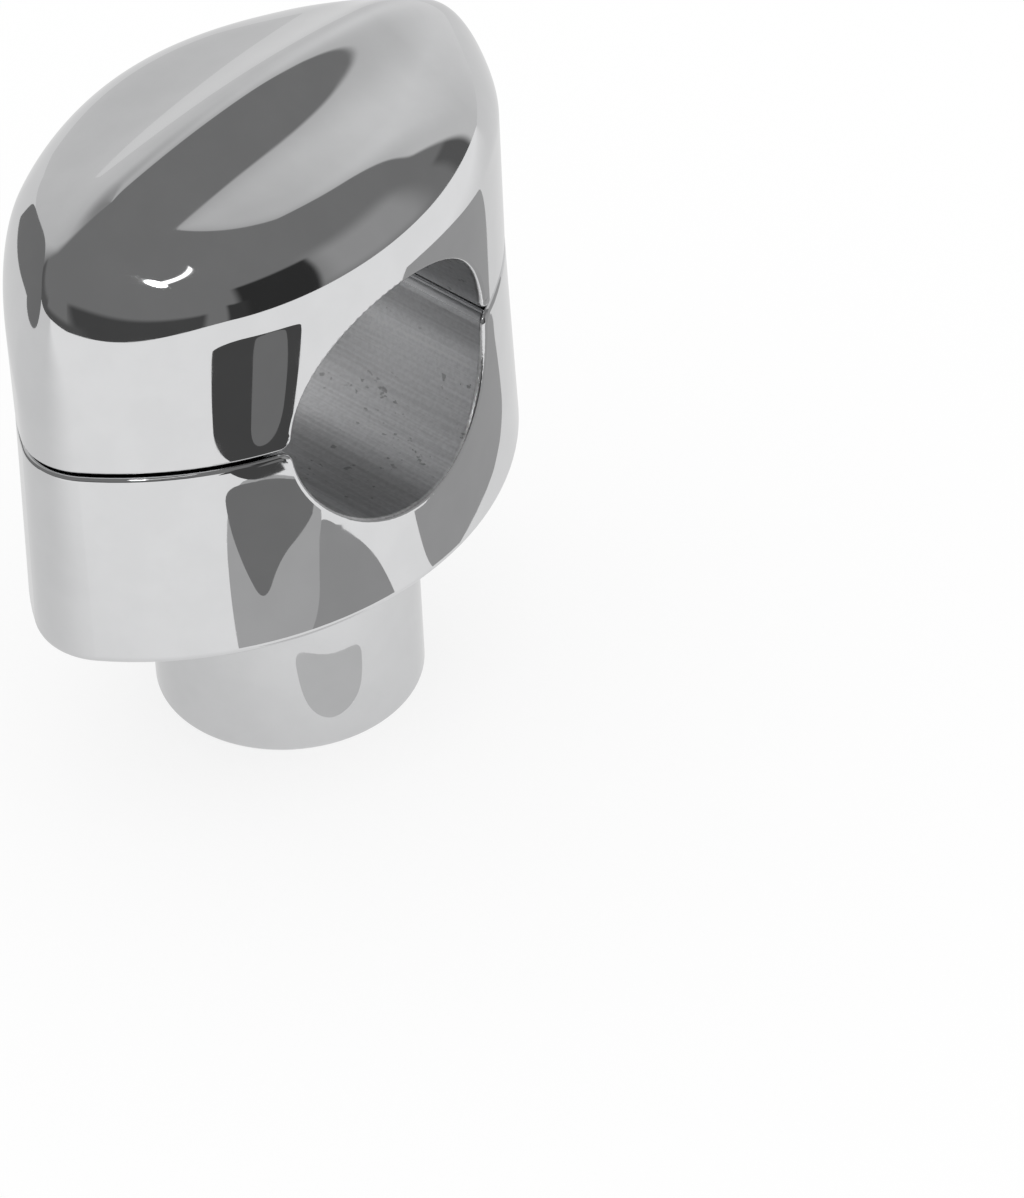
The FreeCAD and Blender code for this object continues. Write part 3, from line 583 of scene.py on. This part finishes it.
def screw_steel():
    """Zinc-plated steel with painted shade in the thread's groove, and a fine knurl round the head."""
    material, tree, shader = new_material("plated_steel")
    place = part_place(tree)
    height, across, along = around_screw(tree, place)
    radius = distance_from(tree, across, along)
    turn = calculate(tree, "DIVIDE", calculate(tree, "ARCTAN2", across, along), 2 * math.pi)
    in_groove = calculate(tree, "MULTIPLY", ramp(tree, height, *(low * MM for low in GROOVE_LOW)),
                          ramp(tree, radius, *(limit * MM for limit in GROOVE_RADII)))
    on_head = ramp(tree, radius, *((HEAD_RADIUS - skin) * MM for skin in HEAD_SKIN))
    lines = calculate(tree, "MULTIPLY", turn, KNURLS)
    slant = calculate(tree, "DIVIDE", height, KNURL_SLANT * MM)
    leans = [calculate(tree, "PINGPONG", calculate(tree, operation, lines, slant), 0.5)
             for operation in ("ADD", "SUBTRACT")]
    knurl = calculate(tree, "MAXIMUM", *leans)
    grain = noise(tree, place, 1500.0, 3.0)
    relief = calculate(tree, "ADD", calculate(tree, "MULTIPLY", grain, 0.06),
                       calculate(tree, "MULTIPLY", on_head, knurl))
    # The zinc's tone darkens in the thread's groove: painted shade.
    shade = calculate(tree, "MULTIPLY", spread(tree, noise(tree, place, 240.0), *ZINC_SHADE),
                      ramp(tree, in_groove, 0.0, 1.0, 1.0, GROOVE_PAINTED_SHADE))
    finish_metal(tree, shader, shade, ZINC_TINT, spread(tree, grain, *ZINC_ROUGHNESS), relief,
                 strength=0.8, depth=0.2)
    return material


def spring_steel():
    """Drawn wire of the lock washers: a darker satin with marks that run round the washer."""
    material, tree, shader = new_material("spring_steel")
    place = part_place(tree)
    height, across, along = around_screw(tree, place)
    ring = add_node(tree, "ShaderNodeCombineXYZ", {"X": distance_from(tree, across, along), "Y": height})
    drawn = noise(tree, ring.outputs["Vector"], 5200.0, 2.0)
    shade = calculate(tree, "MULTIPLY", spread(tree, noise(tree, place, 420.0), *WIRE_SHADE),
                      spread(tree, drawn, *WIRE_MARK_SHADES))
    finish_metal(tree, shader, shade, WIRE_TINT, spread(tree, drawn, *WIRE_ROUGHNESS), drawn,
                 strength=0.4, depth=0.02)
    return material


def dress(node, material):
    """Gives a carried-over CAD node its material."""
    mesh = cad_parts[node].data
    mesh.materials.clear()
    mesh.materials.append(material)


FLOOR_HALF = 3.0           # metres
FLOOR_SHADE, FLOOR_ROUGHNESS = 0.9, 0.9
GLOW_SHARE = 0.75          # of the floor's look for camera and reflection rays, which keeps its shadow
CAMERA_GLOW = 1.035
FRONT_GLOW, BACK_GLOW = 0.74, 1.06     # for reflection rays, before and behind the part
GLOW_AZIMUTH = 145
GLOW_STEP = (-0.02, 0.05)  # metres from the part along that azimuth


def toward(azimuth):
    """A level direction. Azimuth 0 is away from the camera and 90 is to its right."""
    return Matrix.Rotation(CAMERA_HEADING - math.radians(azimuth), 3, "Z") @ Vector((0, 1, 0))


def add_floor():
    """A pale floor. Seen directly or in the metal it is near white, and it keeps the soft shadow."""
    mesh = bpy.data.meshes.new("floor")
    corners = [(x * FLOOR_HALF, y * FLOOR_HALF, 0) for x, y in ((-1, -1), (1, -1), (1, 1), (-1, 1))]
    mesh.from_pydata(corners, [], [(0, 1, 2, 3)])
    material, tree, shader = new_material("floor")
    shader.inputs["Base Color"].default_value = (FLOOR_SHADE, FLOOR_SHADE, FLOOR_SHADE, 1)
    shader.inputs["Roughness"].default_value = FLOOR_ROUGHNESS
    shader.inputs["Specular IOR Level"].default_value = 0.0
    rays = add_node(tree, "ShaderNodeLightPath")
    seen = calculate(tree, "MAXIMUM", rays.outputs["Is Camera Ray"], rays.outputs["Is Glossy Ray"])
    along = add_node(tree, "ShaderNodeVectorMath", {0: part_place(tree), 1: toward(GLOW_AZIMUTH)},
                     operation="DOT_PRODUCT").outputs["Value"]
    # For reflection rays the floor glows dimmer in front of the part than behind it: a painted shade that
    # only the metal sees.
    level = mixed(tree, rays.outputs["Is Glossy Ray"], CAMERA_GLOW,
                  ramp(tree, along, *GLOW_STEP, FRONT_GLOW, BACK_GLOW))
    glow = add_node(tree, "ShaderNodeEmission", {"Color": (1, 1, 1, 1), "Strength": level})
    mix = add_node(tree, "ShaderNodeMixShader", {
        0: calculate(tree, "MULTIPLY", seen, GLOW_SHARE), 1: shader.outputs[0], 2: glow.outputs[0]})
    tree.links.new(mix.outputs[0], tree.nodes["Material Output"].inputs["Surface"])
    mesh.materials.append(material)
    add_object("floor", mesh)


# Cards that only the metal sees: painted reflections, which put the dark shapes of the other riser,
# the loose cap and the room into the polished walls. Each one stands upright: its name, azimuth,
# distance, light, and outline across and up.
CARDS = (
    ("card_black", 140, 32.0, 0.075, (
        (14.8, 47.1), (6.2, 47.4), (7.4, 41.6), (9.6, 34.8), (11.2, 29.6), (24.6, 28.8), (24.3, 36.3),
        (22.9, 44.8))),
    ("card_stripe", 140, 31.5, 0.2, (
        (14.9, 46.8), (9.2, 47.2), (9.6, 41.1), (12.1, 33.4), (17.4, 31.6), (16.4, 37.8))),
    ("card_shade", 140, 32.6, 0.49, (
        (10.8, 30.0), (6.0, 25.2), (7.0, 20.0), (8.0, 12.0), (14.0, 6.5), (21.0, 5.0), (24.2, 6.5),
        (24.2, 28.0))),
    ("card_low", 140, 32.0, 0.21, (
        (10.8, 30.0), (6.8, 25.8), (9.4, 23.2), (14.0, 20.2), (17.6, 14.4), (20.8, 18.4), (23.2, 23.4),
        (23.4, 28.0))),
    ("card_grey", 120, 33.0, 0.36, (
        (39.8, 0.4), (39.8, 1.9), (33.2, 4.6), (26.4, 9.3), (20.6, 16.5), (18.4, 19.9), (13.7, 19.0),
        (7.6, 15.6), (4.0, 10.0), (2.6, 6.0), (17.6, 4.3), (31.0, 0.4))),
    ("card_right", 75, 32.0, 0.40, (
        (-3.9, 45.7), (2.2, 47.0), (12.0, 46.0), (24.0, 38.0), (26.0, 20.0), (23.2, 7.5), (19.4, 4.0),
        (13.2, 7.8), (6.5, 11.7), (0.3, 14.4), (-4.2, 18.2), (-4.6, 22.1), (-3.4, 30.9))),
    ("card_left", -74, 190.0, 0.2, (
        (-100, 0.2), (-98, 66.0), (60, 66.0), (118, 60.0), (112, 30.0), (118, 0.2))),
)
# One more lies on the floor in front and puts a painted reflection into the boss, which darkens a patch
# of it.
FLOOR_CARD_LIGHT = 0.62
FLOOR_CARD_HEIGHT = 0.2
FLOOR_CARD = ((22.2, -19.7), (27.0, 2.2), (20.2, -0.1), (16.5, -4.5), (14.8, -8.0), (16.2, -12.8))
CORNER_CUTS = 3


def rounded(outline):
    """The outline with its corners cut a few times over."""
    points = np.array(outline, float)
    for _ in range(CORNER_CUTS):
        following = np.roll(points, -1, axis=0)
        points = np.stack([0.75 * points + 0.25 * following, 0.25 * points + 0.75 * following],
                          1).reshape(-1, 2)
    return points


def add_card(name, light, points):
    """A flat glowing shape that only the polished metal sees: a painted reflection."""
    mesh = bpy.data.meshes.new(name)
    mesh.from_pydata(points, [], [range(len(points))])
    card = add_object(name, mesh)
    material, tree, _ = new_material(name)
    glow = add_node(tree, "ShaderNodeEmission", {"Color": (1, 1, 1, 1), "Strength": light})
    tree.links.new(glow.outputs[0], tree.nodes["Material Output"].inputs["Surface"])
    mesh.materials.append(material)
    card.visible_camera = card.visible_diffuse = card.visible_shadow = False


def add_cards():
    """The upright cards and the one on the floor."""
    up = Vector((0, 0, 1))
    for name, azimuth, distance, light, outline in CARDS:
        facing = toward(azimuth)
        across = facing.cross(up)
        add_card(name, light, [(facing * distance + across * u + up * z) * MM
                               for u, z in rounded(outline)])
    add_card("card_floor", FLOOR_CARD_LIGHT,
             [Vector((x, y, FLOOR_CARD_HEIGHT)) * MM for x, y in rounded(FLOOR_CARD)])


# The studio as the metal sees it, in degrees of azimuth and elevation from the part. Azimuth 0
# is away from the camera and 90 is to its right.
ROOM_LIGHT = 0.215
PLAIN_LIGHT = 1.0      # of the world for diffuse rays and for the camera
# Each zone: azimuths, elevations, light, soft edge. A later zone lies over an earlier one.
ZONES = (
    ((84, 127), (0, 38), 0.37, 16),
    ((57, 69), (-6, 21), 0.12, 5),
    ((128, 151), (-2, 37), 0.035, 3),
    ((149, 158), (-2, 19), 0.05, 3),
    ((169, 211), (-5, 14), 0.075, 4),
    ((208, 250), (-12, 3), 0.1, 4),
    ((-115, -60), (-12, 7), 0.12, 6),
)
# The softbox's right edge: its azimuth low down, and its lean inwards between two elevations.
SOFTBOX_RIGHT, RIGHT_SOFT = (59.5, 20.5, 36, 60), 1.5
# Its left edge: its azimuth at the horizon, and its lean outwards for each degree up.
SOFTBOX_LEFT, LEFT_SOFT = (-52, 0.68), 6.0
SOFTBOX_LIGHT = 0.85
HIGH_FADE = (30.0, 80.0, 0.0, 0.28)     # what it loses from one elevation to another
AZIMUTH_FADES = ((22.0, -15.0, 0.0, 0.17), (-20.0, -75.0, 0.0, 0.10), (22.0, 55.0, 0.0, 0.17))
LAMP, LAMP_SPREAD, LAMP_LIGHT = (187, 45), 2.6, 40.0
# The bright streak: azimuths, elevation and its fall for each degree on, half width, light.
STREAK_AZIMUTHS, STREAK_START, STREAK_LEAN, STREAK_WIDTH, STREAK_LIGHT = (164, 188), 61, 0.86, 1.2, 3.0
STREAK_MARGIN = 4.0    # degrees from its first azimuth to where its elevation is given
STREAK_SOFT = 3.0


def between(tree, source, low, high, soft):
    """1 between two limits, 0 outside them, with soft edges."""
    enters = ramp(tree, source, low - soft / 2, low + soft / 2)
    leaves = ramp(tree, source, high - soft / 2, high + soft / 2, 1.0, 0.0)
    return calculate(tree, "MULTIPLY", enters, leaves)


def softbox(tree, azimuth, elevation):
    """Where the large soft light behind the part is seen, and how bright it is there."""
    edge, lean, lean_low, lean_high = SOFTBOX_RIGHT
    right = calculate(tree, "SUBTRACT", edge, ramp(tree, elevation, lean_low, lean_high, 0.0, lean))
    inside_right = ramp(tree, calculate(tree, "SUBTRACT", right, azimuth), -RIGHT_SOFT, RIGHT_SOFT)
    edge, lean = SOFTBOX_LEFT
    left = calculate(tree, "SUBTRACT", edge, calculate(
        tree, "MULTIPLY", lean, calculate(tree, "MAXIMUM", elevation, 0.0)))
    inside_left = ramp(tree, calculate(tree, "SUBTRACT", azimuth, left), -LEFT_SOFT, LEFT_SOFT)
    level = calculate(tree, "SUBTRACT", SOFTBOX_LIGHT, ramp(tree, elevation, *HIGH_FADE))
    for fade in AZIMUTH_FADES:
        level = calculate(tree, "SUBTRACT", level, ramp(tree, azimuth, *fade))
    return calculate(tree, "MULTIPLY", inside_right, inside_left), level


def lamp_seen(tree, direction):
    """Where the small lamp is seen."""
    azimuth, elevation = (math.radians(angle) for angle in LAMP)
    lamp = (math.cos(elevation) * math.sin(azimuth), math.cos(elevation) * math.cos(azimuth),
            math.sin(elevation))
    nearness = add_node(tree, "ShaderNodeVectorMath", {0: direction, 1: lamp},
                        operation="DOT_PRODUCT").outputs["Value"]
    return ramp(tree, nearness, math.cos(math.radians(LAMP_SPREAD)), 1.0)


def streak_seen(tree, azimuth, elevation):
    """Where the slanted bright streak is seen."""
    past = calculate(tree, "SUBTRACT", azimuth, STREAK_AZIMUTHS[0] + STREAK_MARGIN)
    line = calculate(tree, "ADD", elevation, calculate(tree, "MULTIPLY", STREAK_LEAN, past))
    return calculate(tree, "MULTIPLY",
                     between(tree, line, STREAK_START - STREAK_WIDTH, STREAK_START + STREAK_WIDTH,
                             STREAK_WIDTH),
                     between(tree, azimuth, *STREAK_AZIMUTHS, STREAK_SOFT))


def add_world():
    """Plain white for the camera and for diffuse light. Only the metal sees the studio's pattern."""
    world = bpy.data.worlds.new("studio")
    bpy.context.scene.world = world
    world.use_nodes = True
    tree = world.node_tree
    turned = add_node(tree, "ShaderNodeMapping", {
        "Vector": add_node(tree, "ShaderNodeTexCoord").outputs["Generated"],
        "Rotation": (0, 0, -CAMERA_HEADING)}).outputs["Vector"]
    split = add_node(tree, "ShaderNodeSeparateXYZ", {"Vector": turned})
    azimuth = calculate(tree, "MULTIPLY", calculate(tree, "ARCTAN2", split.outputs["X"],
                                                    split.outputs["Y"]), 180 / math.pi)
    whole_turn = calculate(tree, "ADD", azimuth, calculate(
        tree, "MULTIPLY", 360.0, calculate(tree, "LESS_THAN", azimuth, 0.0)))
    elevation = calculate(tree, "MULTIPLY", calculate(tree, "ARCSINE", split.outputs["Z"]), 180 / math.pi)
    light = ROOM_LIGHT
    for azimuths, elevations, level, soft in ZONES:
        turn = whole_turn if azimuths[1] > 90 else azimuth
        inside = calculate(tree, "MULTIPLY", between(tree, turn, *azimuths, soft),
                           between(tree, elevation, *elevations, soft))
        light = mixed(tree, inside, light, level)
    shown, level = softbox(tree, azimuth, elevation)
    light = mixed(tree, shown, light, level)
    light = mixed(tree, lamp_seen(tree, turned), light, LAMP_LIGHT)
    light = mixed(tree, streak_seen(tree, whole_turn, elevation), light, STREAK_LIGHT)
    rays = add_node(tree, "ShaderNodeLightPath")
    strength = mixed(tree, rays.outputs["Is Glossy Ray"], PLAIN_LIGHT, light)
    strength = mixed(tree, rays.outputs["Is Camera Ray"], strength, PLAIN_LIGHT)
    background = tree.nodes["Background"]
    background.inputs["Color"].default_value = (1, 1, 1, 1)
    tree.links.new(strength, background.inputs["Strength"])


add_camera()
chrome = casting()
make_cap(chrome)
dress("clamp_cap", chrome)
dress("riser_body", chrome)
steel = screw_steel()
spring = spring_steel()
for side, sign in (("front", -1), ("rear", 1)):
    make_screw(side, sign, steel)
    dress("cap_screw_" + side, steel)
    dress("lock_washer_" + side, spring)
add_floor()
add_cards()
add_world()
bpy.context.scene.view_settings.view_transform = "Standard"
